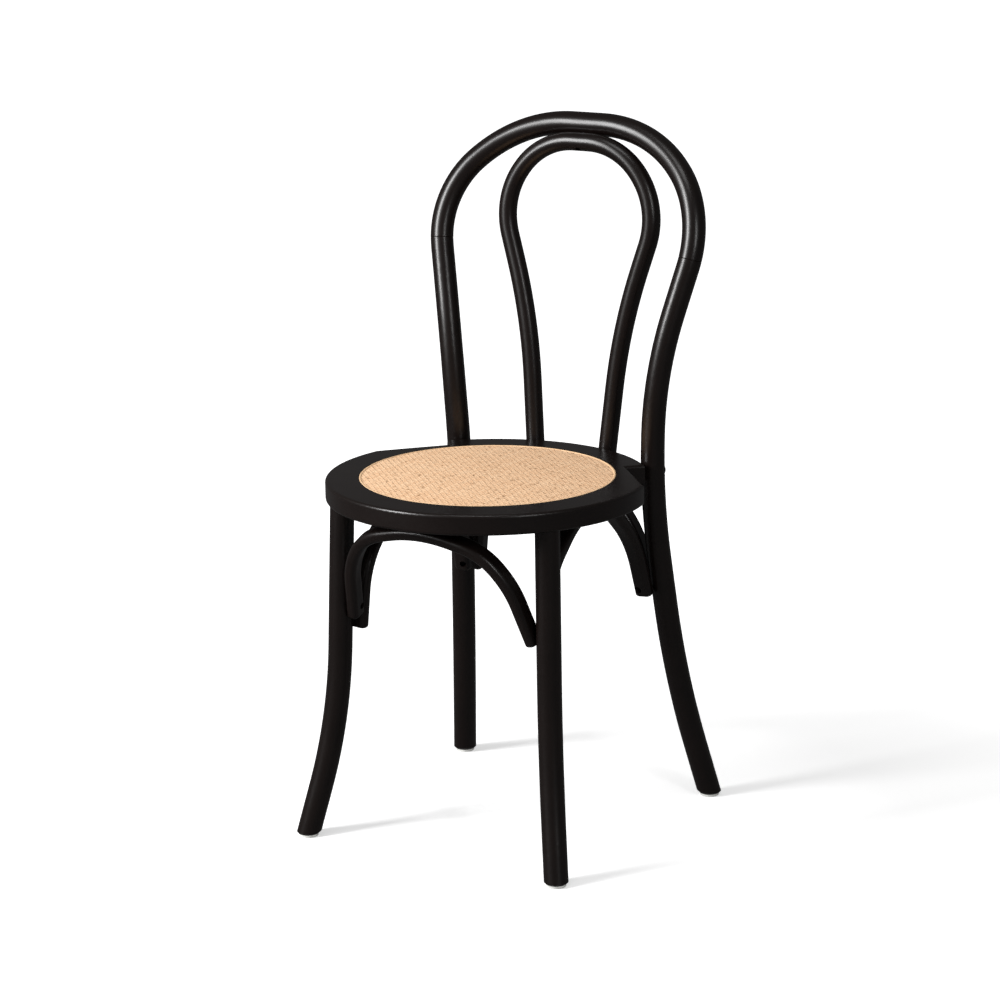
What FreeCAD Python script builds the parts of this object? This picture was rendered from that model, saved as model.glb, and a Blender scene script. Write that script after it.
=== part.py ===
import FreeCAD, Part
import math
import os
import re
import Sketcher
from dataclasses import dataclass
from FreeCAD import Placement, Rotation, Vector

# Bentwood bistro chair with a round seat, a hoop back with an inner loop and four bent arches.
# Millimetres. +Z is up, the chair faces -Y, and the origin is on the floor in the middle of its
# overall length. Every piece is drawn about the centre of the seat and moved there at the end.

SIZES = [
    ("seat_height", 450, "top of the seat ring above the floor"),
    ("ring_radius", 198, "outside radius of the seat ring"),
    ("ring_thickness", 26, "height of the seat ring at its opening"),
    ("ring_fall", 1, "fall of the ring's top towards its edge"),
    ("ring_round", 3.5, "rounding of the ring's outer edges"),
    ("panel_radius", 157, "radius of the opening that shows the woven panel"),
    ("lip_width", 10, "width of the lip that carries the seat board"),
    ("rabbet_depth", 13, "depth of the rabbet above the lip"),
    ("board_gap", 0.3, "gap round the seat board"),
    ("panel_thickness", 3.5, "thickness of the woven panel at its rim"),
    ("panel_crown", 3, "rise of the woven panel in the middle"),
    ("panel_recess", 0.5, "rim of the panel below the top of the ring"),
    ("flat_distance", 172, "side flat of the ring from the seat centre"),
    ("flat_angle", 43, "direction of the side flat, from +X towards +Y"),
    ("flat_corner", 3, "inner corner of the flat, ahead of its foot point"),
    ("wall_angle", 51.5, "direction of the end wall of the flat"),
    ("foot_radius", 14.8, "radius of a leg at the floor"),
    ("leg_radius", 15, "radius of a leg at the seat"),
    ("bow_radius", 14.6, "radius of the back bow"),
    ("loop_radius", 11.7, "radius of the inner loop"),
    ("taper_top", 330, "height where the legs reach their full radius"),
    ("foot_cut", 3.5, "height of the leg ends, which is the height of a glide"),
    ("foot_chamfer", 2, "chamfer round the leg ends"),
    ("post_angle", 48.17, "rear leg at the seat, from +X towards +Y"),
    ("leg_rebate", 1, "depth of the hollow that fits a rear leg to the ring"),
    ("rear_foot_out", 43.8, "rear leg at the floor, sideways from its place at the seat"),
    ("rear_foot_back", 72.1, "rear leg at the floor, behind its place at the seat"),
    ("rear_knee_out", 15.8, "rear leg, lower bend, sideways"),
    ("rear_knee_back", 31, "rear leg, lower bend, behind"),
    ("rear_knee_z", 165, "rear leg, lower bend"),
    ("rear_hip_out", -2.4, "rear leg, bend under the seat, sideways"),
    ("rear_hip_back", 3.1, "rear leg, bend under the seat, behind"),
    ("rear_hip_z", 400, "rear leg, bend under the seat"),
    ("waist_out", 5.6, "hoop, bend above the seat, sideways"),
    ("waist_back", -2.5, "hoop, bend above the seat, behind"),
    ("waist_z", 560, "hoop, bend above the seat"),
    ("shoulder_out", 51.7, "hoop, shoulder bend, sideways"),
    ("shoulder_back", 42.7, "hoop, shoulder bend, behind"),
    ("shoulder_z", 757.2, "hoop, shoulder bend"),
    ("crown_out", -48.7, "hoop, bend beside the crown, sideways"),
    ("crown_back", 93, "hoop, crown, behind"),
    ("crown_z", 848.2, "hoop, height of the crown's centreline"),
    ("splice_z", 700, "height of the splice between rear leg and bow"),
    ("splice_groove", 0.5, "chamfer on both sides of a splice"),
    ("loop_base_x", 51.2, "inner loop, half spacing at the ring"),
    ("loop_rebate", 2.3, "depth of the hollow that fits the inner loop to the ring"),
    ("loop_waist_x", 66.6, "inner loop, lower bend"),
    ("loop_waist_z", 600, "inner loop, lower bend"),
    ("loop_shoulder_x", 113.6, "inner loop, shoulder bend"),
    ("loop_shoulder_z", 750.2, "inner loop, shoulder bend"),
    ("loop_crown_x", 57.9, "inner loop, bend beside the crown"),
    ("loop_crown_ahead", 16.5, "inner loop's crown ahead of the bow's"),
    ("loop_gap", 0.1, "gap between the inner loop and the bow"),
    ("front_leg_angle", -35.22, "front leg at the seat, from +X towards +Y"),
    ("front_knee_out", 6.4, "front leg, bend, sideways from its place at the seat"),
    ("front_knee_ahead", 9.4, "front leg, bend, ahead of its place at the seat"),
    ("front_knee_z", 149, "front leg, bend"),
    ("front_foot_out", 33.9, "front leg at the floor, sideways"),
    ("front_foot_ahead", 45.3, "front leg at the floor, ahead"),
    ("tenon_radius", 9, "radius of a front leg's tenon"),
    ("tenon_length", 16, "length of a front leg's tenon"),
    ("arch_width", 22.5, "width of a bent arch"),
    ("arch_thickness", 15.5, "thickness of a bent arch"),
    ("arch_round", 6.5, "rounding of an arch's long edges"),
    ("arch_end_round", 3.5, "rounding round an arch's ends"),
    ("arch_cope", 1.6, "depth of the hollow that fits an arch end to a leg"),
    ("arch_seat_bite", 1, "thickness taken off an arch where it meets the seat"),
    ("front_arch_end_z", 281.5, "lower ends of the front arch"),
    ("rear_arch_end_z", 273, "lower ends of the rear arch"),
    ("side_front_end_z", 260, "lower end of a side arch at the front leg"),
    ("side_rear_end_z", 277, "lower end of a side arch at the rear leg"),
    ("front_arch_back", 1.5, "front arch behind the line through the legs"),
    ("rear_arch_back", 3.2, "rear arch behind the line through the legs"),
    ("side_arch_inset", 14.4, "side arch inside the line through the legs"),
    ("arch_spread", 45.5, "front and rear arch, from the ends to the bends beside the top"),
    ("arch_sag", 20, "front and rear arch, bends beside the top, below the top"),
    ("arch_drop", 64, "front and rear arch, side bends below the top"),
    ("arch_draw", 14.3, "front and rear arch, side bends inside the ends"),
    ("side_spread", 75, "side arch, from the ends to the bends beside the top"),
    ("side_sag", 12.2, "side arch, bends beside the top, below the top"),
    ("side_drop", 66, "side arch, side bends below the top"),
    ("side_front_draw", 3.5, "side arch, front side bend inside the end"),
    ("side_rear_draw", 19.6, "side arch, rear side bend inside the end"),
    ("front_lean", 20, "lean of the front arch, outward"),
    ("rear_lean", 7.3, "lean of the rear arch, inward"),
    ("side_lean", 4.3, "lean of the side arches, inward"),
    ("screw_head_radius", 4, "wood screw, head"),
    ("screw_head_height", 2.4, "wood screw, head"),
    ("screw_shank_radius", 2, "wood screw, shank"),
    ("screw_length", 32, "wood screw, overall"),
    ("screw_sink", 4.5, "depth of the counterbore over a screw"),
    ("front_screw_height", 12, "front arch screw above the arch's end"),
    ("front_screw_shift", 4, "front arch screw behind the arch's middle"),
    ("rear_screw_height", 21, "rear arch screw above the arch's end"),
    ("side_screw_height", 8, "side arch screw above the arch's end"),
    ("side_screw_slant", 31, "side arch screw, slanted towards the leg's axis"),
    ("side_screw_sink", 6, "depth of the counterbore over a slanted screw"),
    ("hole_gap", 0.1, "gap round a fastener in its hole"),
    ("board_screw_length", 16, "seat board screw, overall"),
    ("board_screw_count", 6, "seat board screws"),
    ("bolt_radius", 3, "rear leg bolt, shank"),
    ("bolt_tail", 2, "rear leg bolt, end of the shank past the nut"),
    ("bolt_head_radius", 6.5, "rear leg bolt, domed head"),
    ("bolt_head_height", 2.6, "rear leg bolt, domed head"),
    ("bolt_sink", 3, "depth of the flat under the bolt's washer"),
    ("washer_radius", 8, "washer under the bolt head"),
    ("washer_thickness", 1.2, "washer under the bolt head"),
    ("nut_radius", 5, "barrel nut"),
    ("nut_length", 15, "barrel nut"),
    ("dowel_radius", 5, "splice dowel"),
    ("dowel_length", 60, "splice dowel"),
    ("glide_radius", 12, "foot glide"),
    ("nail_radius", 1.4, "glide nail, shank"),
    ("nail_head_radius", 3.5, "glide nail, head"),
    ("nail_head_height", 1, "glide nail, head"),
    ("nail_length", 20, "glide nail, overall"),
    ("glide_recess", 1.3, "glide nail's head above the floor"),
]

doc = FreeCAD.newDocument("BistroChair")
sheet = doc.addObject("Spreadsheet::Sheet", "Sizes")
for row, (alias, value, note) in enumerate(SIZES, start=1):
    sheet.set(f"A{row}", alias)
    sheet.set(f"B{row}", str(value))
    sheet.setAlias(f"B{row}", alias)
    sheet.set(f"C{row}", note)
doc.recompute()


def size(name):
    """A value of the sheet, in millimetres or degrees."""
    return float(sheet.get(name))


SIDES = {"left": -1, "right": 1}
UP = Vector(0, 0, 1)

ring_top = size("seat_height")
ring_bottom = ring_top - size("ring_thickness")
board_top = ring_top - size("panel_recess") - size("panel_thickness")

# Shank of a rear leg's bolt: from under its head through the leg and the nut, halfway into the ring.
BOLT_SHANK = ("(ring_radius - panel_radius) / 2 + 2 * leg_radius - leg_rebate - bolt_sink"
              " + washer_thickness + nut_radius + bolt_tail")


# Helpers for shapes

def polar(radius, angle, height=0.0):
    """A point at a radius and an angle from +X, in degrees, about the seat centre."""
    turn = math.radians(angle)
    return Vector(radius * math.cos(turn), radius * math.sin(turn), height)


def mirrored(point, side):
    """The point of the right half, or its mirror image on the left."""
    return Vector(side * point.x, point.y, point.z)


def rounded_route(points):
    """Edges along a polyline whose corners are wide tangent arcs, with short straight runs between."""
    share = 0.49
    edges = []
    start = points[0]
    for before, corner, after in zip(points, points[1:], points[2:]):
        back = before - corner
        ahead = after - corner
        reach = share * min(back.Length, ahead.Length)
        back.normalize()
        ahead.normalize()
        half_turn = back.getAngle(ahead) / 2
        middle = back + ahead
        middle.normalize()
        to_centre = reach / math.cos(half_turn)
        radius = reach * math.tan(half_turn)
        enter = corner + back * reach
        leave = corner + ahead * reach
        halfway = corner + middle * (to_centre - radius)
        edges.append(Part.LineSegment(start, enter).toShape())
        edges.append(Part.Arc(enter, halfway, leave).toShape())
        start = leave
    edges.append(Part.LineSegment(start, points[-1]).toShape())
    return edges


def stations(edges, pitch=24.0):
    """Points and directions along the edges, no more than a pitch apart."""
    found = []
    for edge in edges:
        steps = max(1, math.ceil(edge.Length / pitch))
        first, last = edge.ParameterRange
        for step in range(0 if not found else 1, steps + 1):
            at = first + (last - first) * step / steps
            found.append((edge.valueAt(at), edge.tangentAt(at)))
    return found


def height_crossing(edges, height):
    """The first place where the edges reach a height: edge number, parameter and point."""
    for number, edge in enumerate(edges):
        low, high = edge.ParameterRange
        if edge.valueAt(low).z <= height <= edge.valueAt(high).z:
            for _ in range(40):
                middle = (low + high) / 2
                if edge.valueAt(middle).z < height:
                    low = middle
                else:
                    high = middle
            return number, low, edge.valueAt(low)
    raise ValueError("the route does not reach this height")


def cylinder(radius, length, start, direction):
    """A solid cylinder from a start point along a direction."""
    return Part.makeCylinder(radius, length, start, direction)


def below(height):
    """Everything from 60 mm under the floor up to a height."""
    depth = 60.0
    extent = 4 * size("ring_radius")
    corner = Vector(-extent / 2, -extent / 2, -depth)
    return Part.makeBox(extent, extent, height + depth, corner)


def add_shape(label, shape):
    """A sub-part or a tool with its own shape, drawn about the seat centre."""
    item = doc.addObject("Part::Feature", label)
    item.Label = label
    item.Shape = shape
    return item


def cut_from(label, blank, tools):
    """A sub-part that is a blank less a set of tool shapes."""
    item = doc.addObject("Part::Cut", label)
    item.Label = label
    item.Base = blank
    item.Tool = add_shape(f"{label}_tools", Part.makeCompound(tools))
    return item


def copies(label, master, placements):
    """A group of separate solids, all like the master body."""
    doc.recompute()
    solids = []
    for place in placements:
        solid = master.Shape.copy()
        solid.Placement = place
        solids.append(solid)
    return add_shape(label, Part.makeCompound(solids))


def facing(direction, point):
    """The placement that turns +Z to a direction and moves the origin to a point."""
    return Placement(point, Rotation(UP, direction))


# Helpers for bodies

def plane_of(body, role):
    """An origin plane of a body, such as XY_Plane."""
    for item in body.Origin.OriginFeatures:
        if item.Role == role:
            return item
    raise ValueError(role)


def new_sketch(body, name, role, offset=None):
    """A sketch on an origin plane of the body, raised by an expression if one is given."""
    sketch = body.newObject("Sketcher::SketchObject", name)
    sketch.AttachmentSupport = [(plane_of(body, role), "")]
    sketch.MapMode = "FlatFace"
    if offset is not None:
        sketch.setExpression("AttachmentOffset.Base.z", tied(offset))
    return sketch


def tied(text):
    """An expression whose words that are sizes point at the sheet."""
    aliases = {alias for alias, _, _ in SIZES}
    return re.sub("[a-z_]+", lambda word: f"Sizes.{word[0]}" if word[0] in aliases else word[0], text)


def draw_polygon(sketch, corners):
    """A closed polygon whose corners are pairs of expressions, tied to the origin."""
    across = [tied(corner[0]) for corner in corners]
    up = [tied(corner[1]) for corner in corners]
    x_values = [float(sketch.evalExpression(text)) for text in across]
    y_values = [float(sketch.evalExpression(text)) for text in up]
    points = [Vector(x, y, 0) for x, y in zip(x_values, y_values)]
    lines = []
    for start, end in zip(points, points[1:] + points[:1]):
        lines.append(sketch.addGeometry(Part.LineSegment(start, end)))
    for this, following in zip(lines, lines[1:] + lines[:1]):
        sketch.addConstraint(Sketcher.Constraint("Coincident", this, 2, following, 1))
    for kind, values, texts in (("DistanceX", x_values, across), ("DistanceY", y_values, up)):
        for line, value, text in zip(lines, values, texts):
            number = sketch.addConstraint(Sketcher.Constraint(kind, -1, 1, line, 1, value))
            sketch.setExpression(f"Constraints[{number}]", text)
    return lines


def draw_circle(sketch, text):
    """A circle about the sketch's origin."""
    radius = float(sketch.evalExpression(tied(text)))
    circle = sketch.addGeometry(Part.Circle(Vector(), UP, radius))
    sketch.addConstraint(Sketcher.Constraint("Coincident", circle, 3, -1, 1))
    number = sketch.addConstraint(Sketcher.Constraint("Radius", circle, radius))
    sketch.setExpression(f"Constraints[{number}]", tied(text))


def spin(body, name, corners):
    """A revolution of a polygon, drawn in radius and height, about the body's Z axis."""
    sketch = new_sketch(body, f"{name}_profile", "XZ_Plane")
    draw_polygon(sketch, corners)
    turned = body.newObject("PartDesign::Revolution", name)
    turned.Profile = sketch
    turned.ReferenceAxis = (sketch, ["V_Axis"])
    turned.Angle = 360
    return turned


def new_body(label):
    """An empty body."""
    body = doc.addObject("PartDesign::Body", label)
    body.Label = label
    return body


def outer_rims(feature, radius, height):
    """Names of the level edges that lie outside a radius on a feature of about this height."""
    doc.recompute()
    names = []
    for number, edge in enumerate(feature.Shape.Edges, start=1):
        first, last = edge.ParameterRange
        points = [edge.valueAt(at) for at in (first, (first + last) / 2, last)]
        outside = all(math.hypot(point.x, point.y) > radius for point in points)
        if outside and edge.BoundBox.ZLength < height / 2:
            names.append(f"Edge{number}")
    return names


# Bent wood

def leg_section(point):
    """Radius of a leg at a height: slim at the floor, full from the taper's top."""
    rise = min(1.0, max(0.0, point.z / size("taper_top")))
    return size("foot_radius") + rise * (size("leg_radius") - size("foot_radius"))


def upright_section(point):
    """Radius of a rear leg: the leg's up to the seat, then easing to the bow's."""
    if point.z <= ring_top:
        return leg_section(point)
    rise = min(1.0, (point.z - ring_top) / (size("waist_z") - ring_top))
    return size("leg_radius") + rise * (size("bow_radius") - size("leg_radius"))


def tapered_rod(edges, section):
    """A round rod through circles along a route, with a radius for each place."""
    rings = []
    for point, direction in stations(edges):
        rings.append(Part.Wire(Part.makeCircle(section(point), point, direction)))
    return Part.makeLoft(rings, True, False)


def even_rod(edges, radius):
    """A round rod of one radius along a route."""
    first = edges[0]
    at = first.ParameterRange[0]
    ring = Part.Wire(Part.makeCircle(radius, first.valueAt(at), first.tangentAt(at)))
    return Part.Wire(edges).makePipeShell([ring], True, False)


def rounded_bar(width, thickness, radius):
    """The outline of a bar's section in the XY plane, with rounded corners."""
    x, y = thickness / 2, width / 2
    slant = radius * (1 - math.sqrt(0.5))
    edges = []
    for turn in range(4):
        half_x, half_y = (x, y) if turn % 2 == 0 else (y, x)
        start = Vector(half_x, -half_y + radius, 0)
        end = Vector(half_x, half_y - radius, 0)
        middle = Vector(half_x - slant, half_y - slant, 0)
        leave = Vector(half_x - radius, half_y, 0)
        side = [Part.LineSegment(start, end).toShape(), Part.Arc(end, middle, leave).toShape()]
        for edge in side:
            edge.rotate(Vector(), UP, 90 * turn)
            edges.append(edge)
    return Part.Wire(Part.sortEdges(edges)[0])


def frame_point(name):
    """A corner point of the rear frame's right half, measured from the leg's place at the seat."""
    post = polar(size("ring_radius") + size("leg_radius") - size("leg_rebate"), size("post_angle"))
    height = 0 if name == "rear_foot" else size(f"{name}_z")
    return Vector(post.x + size(f"{name}_out"), post.y + size(f"{name}_back"), height)


# The origin lies midway between the front of the ring and the back of the crown.
seat_centre_y = (size("ring_radius") - frame_point("crown").y - size("bow_radius")) / 2
seat_centre = Vector(0, seat_centre_y, 0)


def route_of_frame(side):
    """Corner points of one half of the rear frame, from the floor to the crown."""
    names = ("rear_foot", "rear_knee", "rear_hip", "waist", "shoulder", "crown")
    return [mirrored(frame_point(name), side) for name in names]


def extended_down(points, length):
    """The same points with the first moved back along its run."""
    back = points[0] - points[1]
    back.normalize()
    return [points[0] + back * length] + points[1:]


def frame_edges(side):
    """The rear frame's centreline from one foot over the crown to the other."""
    near = extended_down(route_of_frame(side), size("foot_radius") * 2)
    far = [mirrored(point, -1) for point in reversed(near)]
    return rounded_route(near + far)


def part_of_edge(edge, first, last):
    """The stretch of an edge between two of its parameters."""
    return Part.Edge(edge.Curve, first, last)


def leg_edges(side):
    """The rear leg's centreline up to the splice."""
    edges = frame_edges(side)
    number, at, _ = height_crossing(edges, size("splice_z"))
    stretch = part_of_edge(edges[number], edges[number].ParameterRange[0], at)
    return edges[:number] + [stretch]


def bow_edges():
    """The bow's centreline from the right splice over the crown to the left splice."""
    edges = frame_edges(1)
    number, at, _ = height_crossing(edges, size("splice_z"))
    count = len(edges)
    first = part_of_edge(edges[number], at, edges[number].ParameterRange[1])
    mirror = edges[count - 1 - number]
    last = part_of_edge(mirror, mirror.ParameterRange[0], mirror_parameter(mirror, size("splice_z")))
    return [first] + edges[number + 1:count - 1 - number] + [last]


def mirror_parameter(edge, height):
    """The parameter where a falling edge reaches a height."""
    low, high = edge.ParameterRange
    for _ in range(40):
        middle = (low + high) / 2
        if edge.valueAt(middle).z > height:
            low = middle
        else:
            high = middle
    return low


def seat_bolt_axis(side):
    """The rear leg's centre at mid ring, and the level direction from there to the seat centre."""
    middle = (ring_top + ring_bottom) / 2
    point = height_crossing(frame_edges(side), middle)[2]
    inward = Vector(-point.x, -point.y, 0)
    inward.normalize()
    return point, inward


def loop_crown():
    """The middle of the inner loop's crown, which touches the bow from below and ahead."""
    reach = size("bow_radius") + size("loop_radius") + size("loop_gap")
    ahead = size("loop_crown_ahead")
    bow = frame_point("crown")
    return Vector(0, bow.y - ahead, bow.z - math.sqrt(reach ** 2 - ahead ** 2))


def loop_point(across, height):
    """A point of the inner loop's plane, which leans back from the ring's rear edge."""
    reach = size("ring_radius") + size("loop_radius") - size("loop_rebate")
    base_y = math.sqrt(reach ** 2 - size("loop_base_x") ** 2)
    crown = loop_crown()
    slope = (crown.y - base_y) / (crown.z - ring_bottom)
    return Vector(across, base_y + slope * (height - ring_bottom), height)


def loop_edges():
    """The inner loop's centreline, up from the ring, over the crown and down again."""
    near = [
        loop_point(size("loop_base_x"), ring_bottom),
        loop_point(size("loop_waist_x"), size("loop_waist_z")),
        loop_point(size("loop_shoulder_x"), size("loop_shoulder_z")),
        loop_point(size("loop_crown_x"), loop_crown().z),
    ]
    far = [mirrored(point, -1) for point in reversed(near)]
    return rounded_route(near + far)


def front_leg_top(side):
    """A front leg's centre under the ring, halfway between its opening and its edge."""
    middle = (size("ring_radius") + size("panel_radius")) / 2
    return mirrored(polar(middle, size("front_leg_angle"), ring_bottom), side)


def front_leg_edges(side):
    """A front leg's centreline from below the floor to above the ring's underside."""
    top = front_leg_top(1)
    knee = Vector(top.x + size("front_knee_out"), top.y - size("front_knee_ahead"), size("front_knee_z"))
    foot = Vector(top.x + size("front_foot_out"), top.y - size("front_foot_ahead"), 0)
    points = extended_down([foot, knee, top], size("foot_radius") * 2)
    points = extended_down(points[::-1], size("leg_radius"))[::-1]
    return rounded_route([mirrored(point, side) for point in points])


# Where the arches meet the legs

def leg_point(edges, height):
    """A leg's centre at a height."""
    return height_crossing(edges, height)[2]


@dataclass(frozen=True)
class Arch:
    """One bent arch, drawn in its own plane: X across the span from its first end to its last end.

    The middle lies between the legs at the height of the first end. The lean turns the plane
    outward. The bends are measured from the ends and from the top.
    """

    middle: Vector
    across: Vector
    lean: float
    half: float
    last_lift: float
    first_draw: float
    last_draw: float
    spread: float
    sag: float
    drop: float

    def placement(self):
        """From the arch's own plane to the chair."""
        outward = self.across.cross(UP)
        turned = Rotation(self.across, Vector(-outward.x, -outward.y, 0), UP, "ZXY")
        return Placement(self.middle, Rotation(self.across, self.lean).multiply(turned))

    def rise(self):
        """Rise of the centreline, so that its top bites a little into the seat's underside."""
        angle = math.radians(abs(self.lean))
        half_up = size("arch_thickness") / 2 * math.cos(angle)
        half_up += (size("arch_width") / 2 - size("arch_round")) * math.sin(angle)
        top = ring_bottom + size("arch_seat_bite")
        return (top - half_up - self.middle.z) / math.cos(angle)

    def route(self):
        """The centreline in the arch's own plane."""
        rise = self.rise()
        bend = self.half - self.spread
        points = [
            Vector(self.half, 0, self.last_lift),
            Vector(self.half - self.last_draw, 0, rise - self.drop),
            Vector(bend, 0, rise - self.sag),
            Vector(0, 0, rise),
            Vector(-bend, 0, rise - self.sag),
            Vector(self.first_draw - self.half, 0, rise - self.drop),
            Vector(-self.half, 0, 0),
        ]
        return rounded_route(points)


def cross_arch(leg, end_height, back, lean, outward):
    """The arch between a pair of legs. Outward is -1 for the front pair and 1 for the rear pair."""
    point = leg_point(leg, size(end_height))
    seat = size("leg_radius") - size("arch_cope") + size("arch_thickness") / 2
    middle = Vector(0, point.y + size(back), size(end_height))
    across = Vector(-outward, 0, 0)
    return Arch(middle, across, lean, point.x - seat, 0, size("arch_draw"), size("arch_draw"),
                size("arch_spread"), size("arch_sag"), size("arch_drop"))


def side_arch(side):
    """The arch on one side, from the front leg to the rear leg on the right and back on the left."""
    front = leg_point(front_leg_edges(1), size("side_front_end_z"))
    rear = leg_point(frame_edges(1), size("side_rear_end_z"))
    seat = size("leg_radius") - size("arch_cope") + size("arch_thickness") / 2
    inset_x = (front.x + rear.x) / 2 - size("side_arch_inset")
    ends = [size("side_front_end_z"), size("side_rear_end_z")]
    draws = [size("side_front_draw"), size("side_rear_draw")]
    if side < 0:
        ends.reverse()
        draws.reverse()
    middle = Vector(side * inset_x, (front.y + rear.y) / 2, ends[0])
    half = (rear.y - front.y) / 2 - seat
    return Arch(middle, Vector(0, side, 0), -size("side_lean"), half, ends[1] - ends[0], *draws,
                size("side_spread"), size("side_sag"), size("side_drop"))


def arches():
    """The four arches by the names of their nodes."""
    return {
        "arch_front": cross_arch(front_leg_edges(1), "front_arch_end_z", "front_arch_back",
                                 size("front_lean"), -1),
        "arch_rear": cross_arch(frame_edges(1), "rear_arch_end_z", "rear_arch_back",
                                -size("rear_lean"), 1),
        "arch_left": side_arch(-1),
        "arch_right": side_arch(1),
    }


def bent_arch(arch):
    """An arch in its place, with rounded ends, before it is fitted to the legs and the seat."""
    edges = arch.route()
    section = rounded_bar(size("arch_width"), size("arch_thickness"), size("arch_round"))
    at = edges[0].ParameterRange[0]
    start = edges[0].valueAt(at)
    section.Placement = facing(edges[0].tangentAt(at), start)
    solid = Part.Wire(edges).makePipeShell([section], True, False)
    end = edges[-1].valueAt(edges[-1].ParameterRange[1])
    rims = []
    for face in solid.Faces:
        if min((face.CenterOfMass - start).Length, (face.CenterOfMass - end).Length) < 0.01:
            rims += face.Edges
    solid = solid.makeFillet(size("arch_end_round"), rims)
    solid.Placement = arch.placement()
    return solid


# Masters: bodies that are copied into the groups of identical fasteners

def screw_master(label, length):
    """A pan-head wood screw: the head stands on the XY plane and the shank points down."""
    body = new_body(label)
    shank = f"{length} - screw_head_height"
    spin(body, f"{label}_turned", [
        ("0", "screw_head_height"),
        ("0", f"-1 * ({shank})"),
        ("screw_shank_radius", f"-1 * ({shank}) + screw_shank_radius * 2"),
        ("screw_shank_radius", "0"),
        ("screw_head_radius", "0"),
        ("screw_head_radius", "screw_head_height / 2"),
        ("screw_head_radius - screw_head_height / 2", "screw_head_height"),
    ])
    add_cross(body, f"{label}_cross")
    return body


def add_cross(body, name):
    """The crossed slots in a screw's head."""
    for turn, (long_way, short_way) in enumerate((("0.6", "0.12"), ("0.12", "0.6"))):
        sketch = new_sketch(body, f"{name}_{turn}", "XY_Plane", "screw_head_height")
        across = f"screw_head_radius * {long_way}"
        up = f"screw_head_radius * {short_way}"
        draw_polygon(sketch, [(f"-1 * {across}", f"-1 * {up}"), (across, f"-1 * {up}"),
                              (across, up), (f"-1 * {across}", up)])
        slot = body.newObject("PartDesign::Pocket", f"{name}_slot_{turn}")
        slot.Profile = sketch
        slot.setExpression("Length", tied("screw_head_height / 2"))


def bolt_master():
    """The rear leg's bolt with a domed head, with the shank pointing down."""
    body = new_body("bolt_master")
    spin(body, "bolt_turned", [
        ("0", "bolt_head_height"),
        ("0", f"-1 * ({BOLT_SHANK})"),
        ("bolt_radius - 0.5", f"-1 * ({BOLT_SHANK})"),
        ("bolt_radius", f"0.5 - ({BOLT_SHANK})"),
        ("bolt_radius", "0"),
        ("bolt_head_radius", "0"),
        ("bolt_head_radius - 0.4", "bolt_head_height * 0.45"),
        ("bolt_head_radius * 0.6", "bolt_head_height * 0.92"),
    ])
    return body


def washer_master():
    """The washer under a bolt head."""
    body = new_body("washer_master")
    spin(body, "washer_turned", [
        ("bolt_radius + hole_gap", "0"),
        ("washer_radius", "0"),
        ("washer_radius", "washer_thickness"),
        ("bolt_radius + hole_gap", "washer_thickness"),
    ])
    return body


def nail_master():
    """A glide's nail, with its head up in this frame and its point down."""
    body = new_body("nail_master")
    spin(body, "nail_turned", [
        ("0", "nail_head_height"),
        ("0", "nail_head_height - nail_length"),
        ("nail_radius", "nail_head_height - nail_length + nail_radius * 2"),
        ("nail_radius", "0"),
        ("nail_head_radius", "0"),
        ("nail_head_radius", "nail_head_height"),
    ])
    return body


# Places of the fasteners: each is the point under the head and the direction the head faces

def arch_screw_places(name):
    """The two screws that hold an arch's ends to the legs."""
    arch = arches()[name]
    slant = math.radians(size("side_screw_slant"))
    sink = size("screw_sink")
    height = size("rear_screw_height")
    shift = 0.0
    if name == "arch_front":
        height = size("front_screw_height")
        shift = size("front_screw_shift")
    if name in ("arch_left", "arch_right"):
        height = size("side_screw_height")
        sink = size("side_screw_sink") * math.cos(slant)
        to_axis = size("leg_radius") - size("arch_cope") + size("arch_thickness") - sink
        shift = to_axis * math.tan(slant) - size("side_arch_inset")
    else:
        slant = 0.0
    under_head = arch.half - size("arch_thickness") / 2 + sink
    place = arch.placement()
    found = []
    for end, lift in ((1, arch.last_lift), (-1, 0)):
        point = place.multVec(Vector(end * under_head, shift, lift + height))
        out = place.Rotation.multVec(Vector(-end * math.cos(slant), math.sin(slant), 0))
        found.append((point, out))
    return found


def arch_seat_place(name):
    """The screw that holds the top of an arch to the seat."""
    arch = arches()[name]
    place = arch.placement()
    under_head = arch.rise() - size("arch_thickness") / 2 + size("screw_sink")
    return place.multVec(Vector(0, 0, under_head)), place.Rotation.multVec(Vector(0, 0, -1))


def board_screw_places():
    """The screws through the ring's lip into the seat board, facing down."""
    radius = size("panel_radius") - size("lip_width") / 2
    count = int(size("board_screw_count"))
    height = ring_bottom + size("screw_head_height")
    return [(polar(radius, 360 * step / count, height), Vector(0, 0, -1)) for step in range(count)]


def bolt_place(side):
    """The rear leg's bolt: the point under its washer, and the outward direction."""
    point, inward = seat_bolt_axis(side)
    outward = inward * -1
    return point + outward * (size("leg_radius") - size("bolt_sink")), outward


def loop_seat_place(side):
    """The screw through an end of the inner loop into the ring's edge."""
    middle = (ring_top + ring_bottom) / 2
    share = (middle - ring_bottom) / (size("loop_waist_z") - ring_bottom)
    across = size("loop_base_x") + (size("loop_waist_x") - size("loop_base_x")) * share
    point = mirrored(loop_point(across, middle), side)
    outward = Vector(point.x, point.y, 0)
    outward.normalize()
    return point + outward * (size("loop_radius") - size("screw_sink")), outward


def loop_crown_place():
    """The screw up through the inner loop's crown into the bow."""
    loop = loop_crown()
    bow = frame_point("crown")
    inward = Vector(0, bow.y, bow.z) - loop
    inward.normalize()
    return loop - inward * (size("loop_radius") - size("screw_sink")), inward * -1


def dowel_place(side):
    """The middle of a splice dowel and its direction."""
    edges = frame_edges(side)
    number, at, point = height_crossing(edges, size("splice_z"))
    return point, edges[number].tangentAt(at)


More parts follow.
